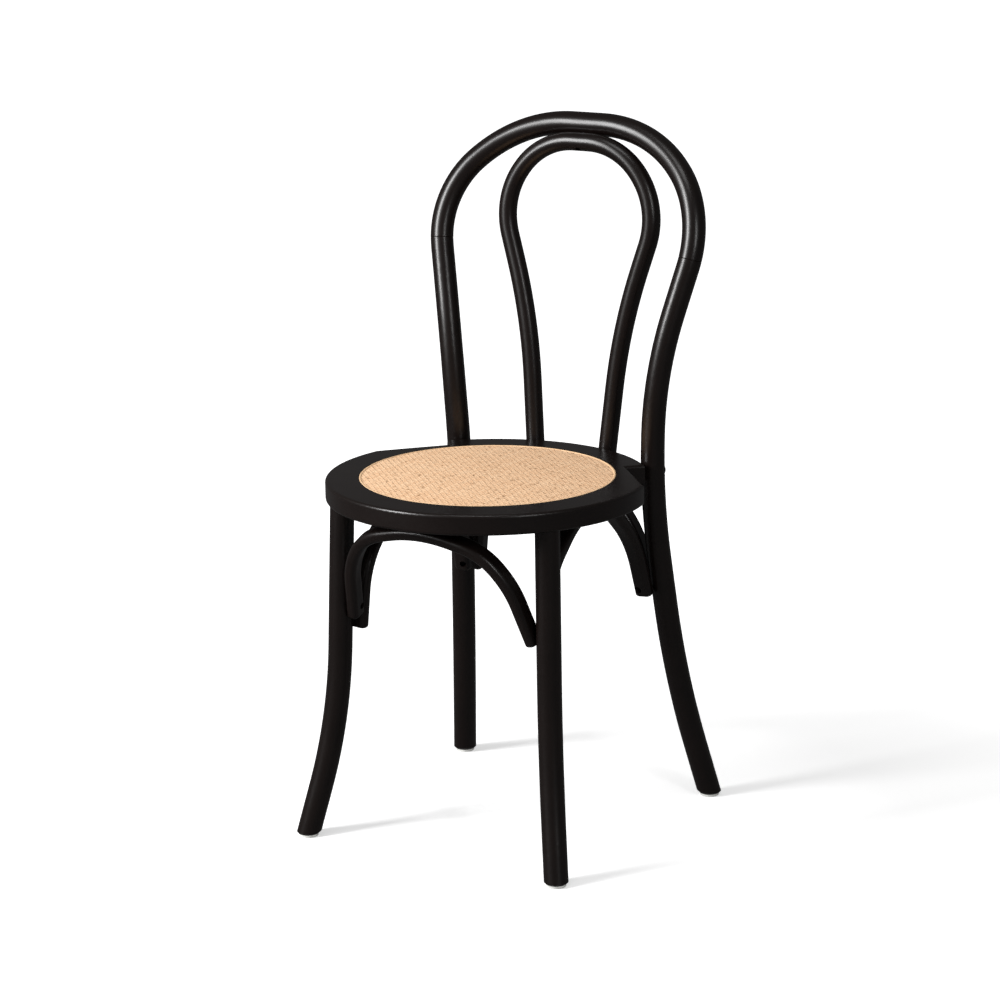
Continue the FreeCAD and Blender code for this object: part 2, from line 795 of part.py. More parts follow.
def foot_place(edges):
    """The middle of a glide's underside."""
    point = leg_point(edges, size("foot_cut"))
    return Vector(point.x, point.y, 0)


# Holes

def screw_hole(place, length, head_room):
    """A shank hole below the head and a counterbore above it."""
    point, out = place
    shank = cylinder(size("screw_shank_radius") + size("hole_gap"), length, point, out * -1)
    bore = cylinder(size("screw_head_radius") + size("hole_gap"), head_room, point, out)
    return shank.fuse(bore)


def long_screw_hole(place):
    """The hole of a full-length wood screw, open to well outside the wood."""
    shank = size("screw_length") - size("screw_head_height") + size("hole_gap")
    return screw_hole(place, shank, size("screw_sink") * 3)


def board_screw_hole(place):
    """The hole of a seat board screw."""
    shank = size("board_screw_length") - size("screw_head_height") + size("hole_gap")
    return screw_hole(place, shank, size("screw_head_height") * 2)


def bolt_hole(side):
    """The hole of a rear leg's bolt, with the flat for its washer."""
    point, outward = bolt_place(side)
    reach = float(sheet.evalExpression(tied(BOLT_SHANK))) - size("washer_thickness") + size("hole_gap")
    shank = cylinder(size("bolt_radius") + size("hole_gap"), reach, point, outward * -1)
    flat = cylinder(size("washer_radius") + size("hole_gap"), size("leg_radius"), point, outward)
    return shank.fuse(flat)


def nut_point(side):
    """The middle of a barrel nut's lower end, halfway between the ring's opening and its edge."""
    point, inward = seat_bolt_axis(side)
    middle = inward * (-(size("ring_radius") + size("panel_radius")) / 2)
    return Vector(middle.x, middle.y, point.z - size("nut_length") / 2)


def nut_hole(side):
    """The hole of a barrel nut, from the ring's underside."""
    start = nut_point(side)
    top = start.z + size("nut_length") + size("hole_gap")
    start.z = ring_bottom - size("ring_thickness")
    return cylinder(size("nut_radius") + size("hole_gap"), top - start.z, start, UP)


def dowel_hole(side):
    """The hole of a splice dowel."""
    point, direction = dowel_place(side)
    length = size("dowel_length") + 2 * size("hole_gap")
    start = point - direction * (length / 2)
    return cylinder(size("dowel_radius") + size("hole_gap"), length, start, direction)


def nail_hole(edges):
    """The hole of a glide's nail in the end of a leg."""
    start = foot_place(edges)
    top = size("glide_recess") + size("nail_length") - size("nail_head_height") + size("hole_gap")
    return cylinder(size("nail_radius") + size("hole_gap"), top, start, UP)


def foot_end(edges):
    """What is taken off a leg at the floor, with the chamfer round its end."""
    point = leg_point(edges, size("foot_cut"))
    chamfer = size("foot_chamfer")
    inner = size("foot_radius") - chamfer
    outer = inner + chamfer * 2
    cone = Part.makeCone(inner, outer, chamfer * 2, point, UP)
    return below(size("foot_cut") + chamfer * 2).cut(cone)


def splice_groove(side):
    """The fine groove round a splice: a ring with a V-shaped inside."""
    point, direction = dowel_place(side)
    groove = size("splice_groove")
    outer = size("bow_radius") + groove
    inner = size("bow_radius") - groove
    start = point - direction * (2 * groove)
    lower = Part.makeCone(outer, inner, 2 * groove, start, direction)
    upper = Part.makeCone(inner, outer, 2 * groove, point, direction)
    return cylinder(outer, 4 * groove, start, direction).cut([lower, upper])


def ring_seat():
    """The full disc of the ring, which the rear legs and the loop's ends are hollowed to fit."""
    return cylinder(size("ring_radius"), size("ring_thickness"), Vector(0, 0, ring_bottom), UP)


# Sub-parts

def build_ring_blank():
    """The seat ring before drilling: rabbet, lip, the two side flats and rounded outer edges."""
    body = new_body("seat_ring_blank")
    floor = "ring_thickness - rabbet_depth"
    ring = spin(body, "ring_turned", [
        ("panel_radius - lip_width", "0"),
        ("ring_radius", "0"),
        ("ring_radius", "ring_thickness - ring_fall"),
        ("panel_radius", "ring_thickness"),
        ("panel_radius", floor),
        ("panel_radius - lip_width", floor),
    ])
    for side_name, side in SIDES.items():
        ring = cut_side_flat(body, side_name, side)
    rounding = body.newObject("PartDesign::Fillet", "ring_rounding")
    rounding.Base = (ring, outer_rims(ring, size("panel_radius") + 1, size("ring_thickness")))
    rounding.setExpression("Radius", tied("ring_round"))
    body.Placement = Placement(Vector(0, 0, ring_bottom), Rotation())
    return body


def cut_side_flat(body, side_name, side):
    """A side flat that runs in from the ring's edge and ends at a wall ahead of the rear leg."""
    chord = "sqrt(ring_radius * ring_radius - flat_distance * flat_distance)"
    deep = "(ring_radius - flat_distance)"
    reach = f"{chord} + {deep}"
    corner = ("flat_distance * cos(flat_angle) + flat_corner * sin(flat_angle)",
              "flat_distance * sin(flat_angle) - flat_corner * cos(flat_angle)")
    ahead = (f"flat_distance * cos(flat_angle) + ({reach}) * sin(flat_angle)",
             f"flat_distance * sin(flat_angle) - ({reach}) * cos(flat_angle)")
    outer = (f"{ahead[0]} + {deep} * 2 * cos(flat_angle)",
             f"{ahead[1]} + {deep} * 2 * sin(flat_angle)")
    wall = (f"{corner[0]} + {deep} * 2 * cos(wall_angle)",
            f"{corner[1]} + {deep} * 2 * sin(wall_angle)")
    sketch = new_sketch(body, f"flat_outline_{side_name}", "XY_Plane", "ring_thickness")
    draw_polygon(sketch, [(f"{side} * ({across})", up) for across, up in
                          (corner, ahead, outer, wall)])
    pocket = body.newObject("PartDesign::Pocket", f"side_flat_{side_name}")
    pocket.Profile = sketch
    pocket.setExpression("Length", tied("ring_thickness"))
    return pocket


def build_board_blank():
    """The plywood seat board, stepped to sit on the ring's lip and flush with its underside."""
    body = new_body("seat_board_blank")
    lip = "panel_radius - lip_width - board_gap"
    flange = "panel_radius - board_gap"
    step = "ring_thickness - rabbet_depth"
    top = "ring_thickness - panel_recess - panel_thickness"
    spin(body, "board_turned", [("0", "0"), (lip, "0"), (lip, step), (flange, step),
                                (flange, top), ("0", top)])
    body.Placement = Placement(Vector(0, 0, ring_bottom), Rotation())
    return body


def build_rattan_panel():
    """The woven panel, a thin disc with a crowned top."""
    body = new_body("rattan_panel")
    sketch = new_sketch(body, "panel_profile", "XZ_Plane")
    flange = "panel_radius - board_gap"
    lines = draw_polygon(sketch, [("0", "0"), (flange, "0"), (flange, "panel_thickness"),
                                  ("0", "panel_thickness + panel_crown")])
    radius = size("panel_radius") - size("board_gap")
    rim = Vector(radius, size("panel_thickness"), 0)
    summit = Vector(0, size("panel_thickness") + size("panel_crown"), 0)
    bend = (radius ** 2 + size("panel_crown") ** 2) / (2 * size("panel_crown"))
    turn = math.asin(radius / bend) / 2
    middle = Vector(bend * math.sin(turn), summit.y - bend * (1 - math.cos(turn)), 0)
    sketch.toggleConstruction(lines[2])
    crown = sketch.addGeometry(Part.Arc(rim, middle, summit))
    sketch.addConstraint(Sketcher.Constraint("Coincident", crown, 1, lines[2], 1))
    sketch.addConstraint(Sketcher.Constraint("Coincident", crown, 2, lines[2], 2))
    sketch.addConstraint(Sketcher.Constraint("PointOnObject", crown, 3, -2))
    turned = body.newObject("PartDesign::Revolution", "panel_turned")
    turned.Profile = sketch
    turned.ReferenceAxis = (sketch, ["V_Axis"])
    turned.Angle = 360
    body.Placement = Placement(Vector(0, 0, board_top), Rotation())
    return body


def build_seat():
    """The ring, the board and the woven panel."""
    ring_tools = [bolt_hole(side) for side in SIDES.values()]
    ring_tools += [nut_hole(side) for side in SIDES.values()]
    ring_tools += [long_screw_hole(loop_seat_place(side)) for side in SIDES.values()]
    ring_tools += [board_screw_hole(place) for place in board_screw_places()]
    arch_holes = [long_screw_hole(arch_seat_place(name)) for name in arches()]
    for side in SIDES.values():
        mortise = front_leg_top(side) - UP * size("tenon_length")
        length = 2 * size("tenon_length") + size("hole_gap")
        ring_tools.append(cylinder(size("tenon_radius") + size("hole_gap"), length, mortise, UP))
    cut_from("seat_ring", build_ring_blank(), ring_tools + arch_holes)
    board_holes = [board_screw_hole(place) for place in board_screw_places()]
    cut_from("seat_board", build_board_blank(), board_holes + arch_holes)
    build_rattan_panel()


def build_rear_frame():
    """The two rear legs, the bow that is spliced to them and the dowels in the splices."""
    for side_name, side in SIDES.items():
        edges = frame_edges(side)
        rod = tapered_rod(leg_edges(side), upright_section)
        tools = [foot_end(edges), ring_seat(), bolt_hole(side), dowel_hole(side), nail_hole(edges)]
        tools += arch_end_holes(side, -1) + [splice_groove(side)]
        add_shape(f"rear_leg_{side_name}", rod.cut(tools))
    rod = even_rod(bow_edges(), size("bow_radius"))
    tools = [dowel_hole(side) for side in SIDES.values()]
    tools += [splice_groove(side) for side in SIDES.values()]
    tools.append(long_screw_hole(loop_crown_place()))
    add_shape("back_bow", rod.cut(tools))
    dowels = []
    for side in SIDES.values():
        point, direction = dowel_place(side)
        start = point - direction * (size("dowel_length") / 2)
        dowels.append(cylinder(size("dowel_radius"), size("dowel_length"), start, direction))
    add_shape("splice_dowels", Part.makeCompound(dowels))


def arch_end_holes(side, end):
    """Holes for the arch screws in one leg. End is 1 at the front and -1 at the rear."""
    holes = []
    for name in arches():
        for place in arch_screw_places(name):
            point = place[0]
            if point.x * side > 0 and point.y * end < 0:
                holes.append(long_screw_hole(place))
    return holes


def build_front_legs():
    """The front legs with their tenons."""
    for side_name, side in SIDES.items():
        edges = front_leg_edges(side)
        rod = tapered_rod(edges, leg_section)
        reach = size("leg_radius") * 4
        corner = Vector(-size("ring_radius") * 2, -size("ring_radius") * 2, ring_bottom)
        above = Part.makeBox(size("ring_radius") * 4, size("ring_radius") * 4, reach, corner)
        rod = rod.cut([above, foot_end(edges)])
        start = front_leg_top(side) - UP * size("leg_radius")
        tenon = cylinder(size("tenon_radius"), size("tenon_length") + size("leg_radius"), start, UP)
        leg = rod.fuse(tenon).removeSplitter()
        add_shape(f"front_leg_{side_name}", leg.cut([nail_hole(edges)] + arch_end_holes(side, 1)))


def build_arches():
    """The four arches, hollowed to fit the legs and cut flat under the seat."""
    legs = []
    for side in SIDES.values():
        legs.append(tapered_rod(leg_edges(side), upright_section))
        legs.append(tapered_rod(front_leg_edges(side), leg_section))
    corner = Vector(-size("ring_radius") * 2, -size("ring_radius") * 2, ring_bottom)
    seat = Part.makeBox(size("ring_radius") * 4, size("ring_radius") * 4,
                        size("ring_thickness"), corner)
    for name, arch in arches().items():
        holes = [long_screw_hole(place) for place in arch_screw_places(name)]
        holes.append(long_screw_hole(arch_seat_place(name)))
        add_shape(name, bent_arch(arch).cut(legs + [seat] + holes))


def build_inner_loop():
    """The inner loop, hollowed to fit the ring's rear edge."""
    rod = even_rod(loop_edges(), size("loop_radius"))
    reach = 2 * size("ring_thickness")
    disc = cylinder(size("ring_radius"), reach, Vector(0, 0, ring_top - reach), UP)
    tools = [disc, below(ring_bottom)]
    tools += [long_screw_hole(loop_seat_place(side)) for side in SIDES.values()]
    tools.append(long_screw_hole(loop_crown_place()))
    add_shape("inner_loop", rod.cut(tools))


def build_fasteners():
    """The groups of screws, bolts, washers and nuts."""
    screw = screw_master("wood_screw_master", "screw_length")
    ends = []
    for name in arches():
        ends += [facing(out, point) for point, out in arch_screw_places(name)]
    copies("arch_leg_screws", screw, ends)
    tops = [arch_seat_place(name) for name in arches()]
    copies("arch_seat_screws", screw, [facing(out, point) for point, out in tops])
    loops = [loop_seat_place(side) for side in SIDES.values()]
    copies("loop_seat_screws", screw, [facing(out, point) for point, out in loops])
    point, out = loop_crown_place()
    copies("loop_crown_screw", screw, [facing(out, point)])
    short = screw_master("board_screw_master", "board_screw_length")
    copies("seat_board_screws", short, [facing(out, point) for point, out in board_screw_places()])
    bolts = []
    washers = []
    for side in SIDES.values():
        point, out = bolt_place(side)
        washers.append(facing(out, point))
        bolts.append(facing(out, point + out * size("washer_thickness")))
    copies("rear_leg_bolts", bolt_master(), bolts)
    copies("bolt_washers", washer_master(), washers)
    nuts = []
    for side in SIDES.values():
        nut = cylinder(size("nut_radius"), size("nut_length"), nut_point(side), UP)
        nuts.append(nut.cut(bolt_hole(side)))
    add_shape("barrel_nuts", Part.makeCompound(nuts))


def build_glide(label, edges):
    """One foot glide, with the recess for its nail."""
    body = new_body(label)
    bore = "nail_radius + hole_gap"
    recess = "nail_head_radius + hole_gap"
    spin(body, f"{label}_turned", [
        (bore, "glide_recess"),
        (recess, "glide_recess"),
        (recess, "0"),
        ("glide_radius - glide_recess / 2", "0"),
        ("glide_radius", "glide_recess / 2"),
        ("glide_radius", "foot_cut"),
        (bore, "foot_cut"),
    ])
    body.Placement = Placement(foot_place(edges), Rotation())


def build_feet():
    """A glide and a nail under each leg."""
    nails = []
    for side_name, side in SIDES.items():
        for end_name, edges in (("front", front_leg_edges(side)), ("rear", frame_edges(side))):
            build_glide(f"glide_{end_name}_{side_name}", edges)
            point = foot_place(edges) + UP * size("glide_recess")
            nails.append(facing(Vector(0, 0, -1), point))
    copies("glide_nails", nail_master(), nails)


NODES = [
    "seat_ring", "seat_board", "rattan_panel", "seat_board_screws",
    "rear_leg_left", "rear_leg_right", "back_bow", "splice_dowels",
    "rear_leg_bolts", "bolt_washers", "barrel_nuts",
    "inner_loop", "loop_seat_screws", "loop_crown_screw",
    "front_leg_left", "front_leg_right",
    "arch_front", "arch_rear", "arch_left", "arch_right",
    "arch_leg_screws", "arch_seat_screws",
    "glide_front_left", "glide_front_right", "glide_rear_left", "glide_rear_right", "glide_nails",
]


def place_and_check():
    """Moves every sub-part to the chair's frame and tests the whole document."""
    doc.recompute()
    for name in NODES:
        item = doc.getObjectsByLabel(name)[0]
        item.Placement = Placement(seat_centre, Rotation()).multiply(item.Placement)
    doc.recompute()
    for item in doc.Objects:
        if "Invalid" in item.State or "Error" in item.State:
            raise RuntimeError(f"{item.Label} failed: {item.State}")
    for name in NODES:
        shape = doc.getObjectsByLabel(name)[0].Shape
        if shape.isNull() or not shape.isValid() or not shape.Solids:
            raise RuntimeError(f"{name} has no sound shape")
        print(f"{name}: {len(shape.Solids)} solid(s), {shape.Volume / 1000:.1f} cm3")


def write_parts():
    """Writes each sub-part to its own file."""
    os.makedirs("parts", exist_ok=True)
    for name in NODES:
        doc.getObjectsByLabel(name)[0].Shape.exportStep(f"parts/{name}.step")


build_seat()
build_rear_frame()
build_front_legs()
build_arches()
build_inner_loop()
build_fasteners()
build_feet()
place_and_check()
write_parts()
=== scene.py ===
"""A bentwood bistro chair: black lacquered beech, a woven rattan seat and pale foot glides.

Metres. +Z is up, the chair faces -Y and the origin is on the floor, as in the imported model.
"""

import logging
import math
from dataclasses import dataclass, field
from enum import Enum
from typing import Any

import bmesh
import bpy
from mathutils import Matrix, Vector


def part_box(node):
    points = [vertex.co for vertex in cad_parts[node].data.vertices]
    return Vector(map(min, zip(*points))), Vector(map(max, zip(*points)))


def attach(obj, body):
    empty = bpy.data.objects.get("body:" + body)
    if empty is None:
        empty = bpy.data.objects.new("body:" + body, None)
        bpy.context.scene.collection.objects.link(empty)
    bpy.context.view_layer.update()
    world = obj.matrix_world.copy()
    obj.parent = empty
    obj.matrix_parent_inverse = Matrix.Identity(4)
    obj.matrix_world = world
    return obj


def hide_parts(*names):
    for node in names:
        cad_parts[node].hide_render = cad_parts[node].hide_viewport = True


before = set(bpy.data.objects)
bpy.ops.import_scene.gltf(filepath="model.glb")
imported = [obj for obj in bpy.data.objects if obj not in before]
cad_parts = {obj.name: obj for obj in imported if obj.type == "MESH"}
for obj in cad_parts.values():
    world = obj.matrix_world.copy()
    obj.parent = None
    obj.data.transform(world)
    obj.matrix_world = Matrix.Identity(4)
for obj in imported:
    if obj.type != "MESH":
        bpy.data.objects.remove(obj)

LOG = logging.getLogger("bistro_chair")
MM = 0.001
BODY = "root"
WHITE = (1.0, 1.0, 1.0, 1.0)
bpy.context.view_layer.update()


def linear(colour: str) -> tuple[float, float, float, float]:
    """Turns an sRGB hex colour into linear values.

    Args:
        colour: Six hex digits, with or without a leading hash.

    Returns:
        Red, green, blue and an alpha of 1.
    """
    digits = colour.lstrip("#")
    values = [int(digits[at:at + 2], 16) / 255 for at in (0, 2, 4)]
    red, green, blue = (v / 12.92 if v <= 0.04045 else ((v + 0.055) / 1.055) ** 2.4 for v in values)
    return red, green, blue, 1.0


def per_metre(size_mm: float) -> float:
    """The scale of a noise texture whose features are this many millimetres wide."""
    return 1000.0 / size_mm


def add_node(tree: bpy.types.NodeTree, kind: str, inputs: dict[Any, Any] | None = None,
             **settings: Any) -> bpy.types.Node:
    """Adds one node with its settings, values and links.

    Inputs 6 and 7 of a Mix node are its two colours, and output 2 is the mixed colour. Inputs 2
    and 3 are its two numbers.

    Args:
        tree: The tree that takes the node.
        kind: The node's type.
        inputs: For each input's name or number, a value, or the output that feeds it.
        **settings: The node's own properties.

    Returns:
        The new node.
    """
    node = tree.nodes.new(kind)
    for name, value in settings.items():
        setattr(node, name, value)
    for socket, value in (inputs or {}).items():
        if isinstance(value, bpy.types.NodeSocket):
            tree.links.new(value, node.inputs[socket])
        else:
            node.inputs[socket].default_value = value
    return node


def new_material(name: str) -> tuple[bpy.types.Material, bpy.types.NodeTree]:
    """Makes an empty node material.

    Args:
        name: The material's name.

    Returns:
        The material and its tree.
    """
    material = bpy.data.materials.new(name)
    material.use_nodes = True
    material.node_tree.nodes.clear()
    return material, material.node_tree


class Grain(Enum):
    """The way that the fibres of a piece of wood run, as the scale of a pattern on X, Y and Z."""

    UPRIGHT = (1.0, 1.0, 0.05)
    ACROSS = (0.05, 1.0, 1.0)
    LENGTHWISE = (1.0, 0.05, 1.0)


@dataclass(frozen=True)
class BlackLacquer:
    """Satin black lacquer, sprayed on sanded beech.

    The eye gets a deep, slightly warm black, soft highlights that waver a little, and the faint
    long pores of the wood under the film.
    """

    deep: str = "#0c0706"
    thin: str = "#130c0a"
    ior: float = 1.5
    specular: float = 0.375
    smoothest: float = 0.28
    roughest: float = 0.33
    pore_mm: float = 0.7
    pore_depth: float = 0.1 * MM
    pore_strength: float = 0.05
    waver_mm: float = 45.0
    waver_depth: float = 1.5 * MM
    waver_strength: float = 0.2

    def build(self, grain: Grain) -> bpy.types.Material:
        """Builds the finish.

        Args:
            grain: The way that the fibres run.

        Returns:
            The material.
        """
        material, tree = new_material(f"black_lacquer_{grain.name.lower()}")
        place = add_node(tree, "ShaderNodeTexCoord").outputs["Object"]
        along = add_node(tree, "ShaderNodeMapping", {"Vector": place, "Scale": grain.value})
        pores = add_node(tree, "ShaderNodeTexNoise", {
            "Vector": along.outputs[0], "Scale": per_metre(self.pore_mm), "Detail": 3.0})
        waver = add_node(tree, "ShaderNodeTexNoise", {
            "Vector": place, "Scale": per_metre(self.waver_mm), "Detail": 2.0})
        colour = add_node(tree, "ShaderNodeMix", {
            0: waver.outputs[0], 6: linear(self.deep), 7: linear(self.thin)}, data_type="RGBA")
        gloss = add_node(tree, "ShaderNodeMapRange", {
            "Value": pores.outputs[0], "From Min": 0.3, "From Max": 0.7,
            "To Min": self.smoothest, "To Max": self.roughest})
        film = add_node(tree, "ShaderNodeBump", {
            "Strength": self.pore_strength, "Distance": self.pore_depth,
            "Height": pores.outputs[0]})
        swell = add_node(tree, "ShaderNodeBump", {
            "Strength": self.waver_strength, "Distance": self.waver_depth,
            "Height": waver.outputs[0], "Normal": film.outputs[0]})
        shader = add_node(tree, "ShaderNodeBsdfPrincipled", {
            "Base Color": colour.outputs[2], "Roughness": gloss.outputs[0],
            "Normal": swell.outputs[0], "IOR": self.ior, "Specular IOR Level": self.specular})
        add_node(tree, "ShaderNodeOutputMaterial", {"Surface": shader.outputs[0]})
        return material


@dataclass(frozen=True)
class Rattan:
    """Peeled rattan, split into flat strands and woven.

    The eye gets a warm straw colour that differs from strand to strand, fine fibres along each
    strand, painted shade that darkens a strand where it dips under its neighbour, a few brown
    flecks and a soft satin skin.
    """

    pale: str = "#efcba6"
    warm: str = "#deb28a"
    # Painted shade: the brown that a strand is darkened to where it dips under its neighbour.
    dip_shade: str = "#8a6240"
    fleck: str = "#8f6a48"
    ior: float = 1.45
    specular: float = 0.35
    roughness: float = 0.5
    fibre_mm: float = 0.5
    fibre_depth: float = 0.1 * MM
    fibre_strength: float = 0.3
    stain_mm: float = 30.0
    fleck_mm: float = 6.0
    fleck_start: float = 0.62
    fleck_end: float = 0.72
    fleck_share: float = 0.7
    # Where that painted shade starts on the way down, and its share at the lowest point.
    dip_shade_start: float = -0.2
    dip_shade_share: float = 0.7

    def build(self) -> bpy.types.Material:
        """Builds the finish, which reads the strands' own attributes.

        Returns:
            The material.
        """
        material, tree = new_material("peeled_rattan")
        strand = add_node(tree, "ShaderNodeAttribute", attribute_name="strand")
        along = add_node(tree, "ShaderNodeAttribute", attribute_name="along")
        height = add_node(tree, "ShaderNodeAttribute", attribute_name="height")
        place = add_node(tree, "ShaderNodeTexCoord").outputs["Object"]
        run = add_node(tree, "ShaderNodeCombineXYZ", {
            0: along.outputs["Fac"], 1: strand.outputs["Fac"]})
        tone = add_node(tree, "ShaderNodeTexWhiteNoise", {"W": strand.outputs["Fac"]},
                        noise_dimensions="1D")
        stains = add_node(tree, "ShaderNodeTexNoise", {
            "Vector": run.outputs[0], "Scale": per_metre(self.stain_mm), "Detail": 2.0})
        both = add_node(tree, "ShaderNodeMath", {0: tone.outputs[0], 1: stains.outputs[0]},
                        operation="ADD")
        shade = add_node(tree, "ShaderNodeMapRange", {
            "Value": both.outputs[0], "From Min": 0.3, "From Max": 1.7})
        skin = add_node(tree, "ShaderNodeMix", {
            0: shade.outputs[0], 6: linear(self.pale), 7: linear(self.warm)}, data_type="RGBA")
        spots = add_node(tree, "ShaderNodeTexNoise", {
            "Vector": run.outputs[0], "Scale": per_metre(self.fleck_mm), "Detail": 1.0})
        few = add_node(tree, "ShaderNodeMapRange", {
            "Value": spots.outputs[0], "From Min": self.fleck_start, "From Max": self.fleck_end,
            "To Max": self.fleck_share})
        flecked = add_node(tree, "ShaderNodeMix", {
            0: few.outputs[0], 6: skin.outputs[2], 7: linear(self.fleck)}, data_type="RGBA")
        # Painted shade: the strand darkens towards a brown where it dips under its neighbour.
        low = add_node(tree, "ShaderNodeMapRange", {
            "Value": height.outputs["Fac"], "From Min": self.dip_shade_start, "From Max": -1.0,
            "To Max": self.dip_shade_share})
        colour = add_node(tree, "ShaderNodeMix", {
            0: low.outputs[0], 6: flecked.outputs[2], 7: linear(self.dip_shade)}, data_type="RGBA")
        fibres = add_node(tree, "ShaderNodeTexNoise", {
            "Vector": place, "Scale": per_metre(self.fibre_mm), "Detail": 2.0})
        bump = add_node(tree, "ShaderNodeBump", {
            "Strength": self.fibre_strength, "Distance": self.fibre_depth,
            "Height": fibres.outputs[0]})
        shader = add_node(tree, "ShaderNodeBsdfPrincipled", {
            "Base Color": colour.outputs[2], "Roughness": self.roughness,
            "Normal": bump.outputs[0], "IOR": self.ior, "Specular IOR Level": self.specular})
        add_node(tree, "ShaderNodeOutputMaterial", {"Surface": shader.outputs[0]})
        return material


@dataclass(frozen=True)
class Streaked:
    """A plain fibrous surface: bare beech, the smooth side of split rattan, and the brown of
    painted shade on the sheet under the woven strands.

    The eye gets a pale tan ground with darker, thin, parallel streaks and little gloss.
    """

    name: str = "bare_beech"
    pale: str = "#dcb98c"
    streak: str = "#b98d5e"
    streak_mm: float = 2.0
    roughness: float = 0.65

    def build(self) -> bpy.types.Material:
        """Builds the finish with its streaks along X.

        Returns:
            The material.
        """
        material, tree = new_material(self.name)
        place = add_node(tree, "ShaderNodeTexCoord").outputs["Object"]
        along = add_node(tree, "ShaderNodeMapping", {"Vector": place, "Scale": Grain.ACROSS.value})
        streaks = add_node(tree, "ShaderNodeTexNoise", {
            "Vector": along.outputs[0], "Scale": per_metre(self.streak_mm), "Detail": 4.0})
        colour = add_node(tree, "ShaderNodeMix", {
            0: streaks.outputs[0], 6: linear(self.pale), 7: linear(self.streak)},
            data_type="RGBA")
        shader = add_node(tree, "ShaderNodeBsdfPrincipled", {
            "Base Color": colour.outputs[2], "Roughness": self.roughness})
        add_node(tree, "ShaderNodeOutputMaterial", {"Surface": shader.outputs[0]})
        return material


@dataclass(frozen=True)
class Steel:
    """Turned or pressed steel with a thin coating.

    The eye gets a metal with fine brushed lines, dark where it is blackened and pale where it is
    plated with zinc.
    """

    name: str
    colour: str
    dull: str
    smoothest: float
    roughest: float
    line_mm: float = 0.4

    def build(self) -> bpy.types.Material:
        """Builds the finish.

        Returns:
            The material.
        """
        material, tree = new_material(self.name)
        place = add_node(tree, "ShaderNodeTexCoord").outputs["Object"]
        lines = add_node(tree, "ShaderNodeTexNoise", {
            "Vector": place, "Scale": per_metre(self.line_mm), "Detail": 2.0})
        colour = add_node(tree, "ShaderNodeMix", {
            0: lines.outputs[0], 6: linear(self.colour), 7: linear(self.dull)}, data_type="RGBA")
        gloss = add_node(tree, "ShaderNodeMapRange", {
            "Value": lines.outputs[0], "To Min": self.smoothest, "To Max": self.roughest})
        shader = add_node(tree, "ShaderNodeBsdfPrincipled", {
            "Base Color": colour.outputs[2], "Metallic": 1.0, "Roughness": gloss.outputs[0]})
        add_node(tree, "ShaderNodeOutputMaterial", {"Surface": shader.outputs[0]})
        return material


@dataclass(frozen=True)
class Polyethylene:
    """Moulded polyethylene of the foot glides.

    The eye gets a pale, slightly milky grey with a soft gloss and faint scuffs underneath.
    """

    pale: str = "#dcdcd8"
    scuffed: str = "#b4b3ad"
    scuff_mm: float = 3.0
    ior: float = 1.51
    roughness: float = 0.42
    milkiness: float = 0.1
    milk_depth: float = 2 * MM

    def build(self) -> bpy.types.Material:
        """Builds the finish.

        Returns:
            The material.
        """
        material, tree = new_material("moulded_polyethylene")
        place = add_node(tree, "ShaderNodeTexCoord").outputs["Object"]
        scuffs = add_node(tree, "ShaderNodeTexNoise", {
            "Vector": place, "Scale": per_metre(self.scuff_mm), "Detail": 4.0})
        few = add_node(tree, "ShaderNodeMapRange", {
            "Value": scuffs.outputs[0], "From Min": 0.55, "From Max": 0.75})
        colour = add_node(tree, "ShaderNodeMix", {
            0: few.outputs[0], 6: linear(self.pale), 7: linear(self.scuffed)}, data_type="RGBA")
        shader = add_node(tree, "ShaderNodeBsdfPrincipled", {
            "Base Color": colour.outputs[2], "Roughness": self.roughness, "IOR": self.ior,
            "Subsurface Weight": self.milkiness, "Subsurface Radius": (self.milk_depth,) * 3})
        add_node(tree, "ShaderNodeOutputMaterial", {"Surface": shader.outputs[0]})
        return material


def dress(names: list[str], material: bpy.types.Material) -> None:
    """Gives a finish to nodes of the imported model.

    Args:
        names: The nodes.
        material: The finish for every slot of each node.
    """
    for name in names:
        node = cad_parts[name]
        if not node.material_slots:
            node.data.materials.append(material)
        for slot in node.material_slots:
            slot.material = material
        LOG.info("dressed %s in %s", name, material.name)


@dataclass
class BentFrame:
    """The bent and turned wood: legs, bow, inner loop, arches, seat ring and seat board."""

    lacquer: BlackLacquer = field(default_factory=BlackLacquer)
    beech: Streaked = field(default_factory=Streaked)

    def build(self) -> None:
        """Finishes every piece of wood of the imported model."""
        dress(["rear_leg_left", "rear_leg_right", "front_leg_left", "front_leg_right",
               "inner_loop"], self.lacquer.build(Grain.UPRIGHT))
        dress(["back_bow", "arch_front", "arch_rear", "seat_ring", "seat_board"],
              self.lacquer.build(Grain.ACROSS))
        dress(["arch_left", "arch_right"], self.lacquer.build(Grain.LENGTHWISE))
        dress(["splice_dowels"], self.beech.build())


@dataclass
class Hardware:
    """Screws, bolts, washers, barrel nuts and nails."""

    black: Steel = Steel("blackened_steel", "#2b2a2a", "#1b1a1a", 0.37, 0.53)
    zinc: Steel = Steel("zinc_plated_steel", "#c4c5c6", "#9fa0a0", 0.27, 0.43)

    def build(self) -> None:
        """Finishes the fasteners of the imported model."""
        dress(["arch_leg_screws", "arch_seat_screws", "loop_seat_screws", "loop_crown_screw",
               "rear_leg_bolts", "bolt_washers"], self.black.build())
        dress(["seat_board_screws", "barrel_nuts", "glide_nails"], self.zinc.build())


@dataclass
class Feet:
    """The four glides under the legs."""

    plastic: Polyethylene = field(default_factory=Polyethylene)

    def build(self) -> None:
        """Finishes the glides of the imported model."""
        dress(["glide_front_left", "glide_front_right", "glide_rear_left", "glide_rear_right"],
              self.plastic.build())


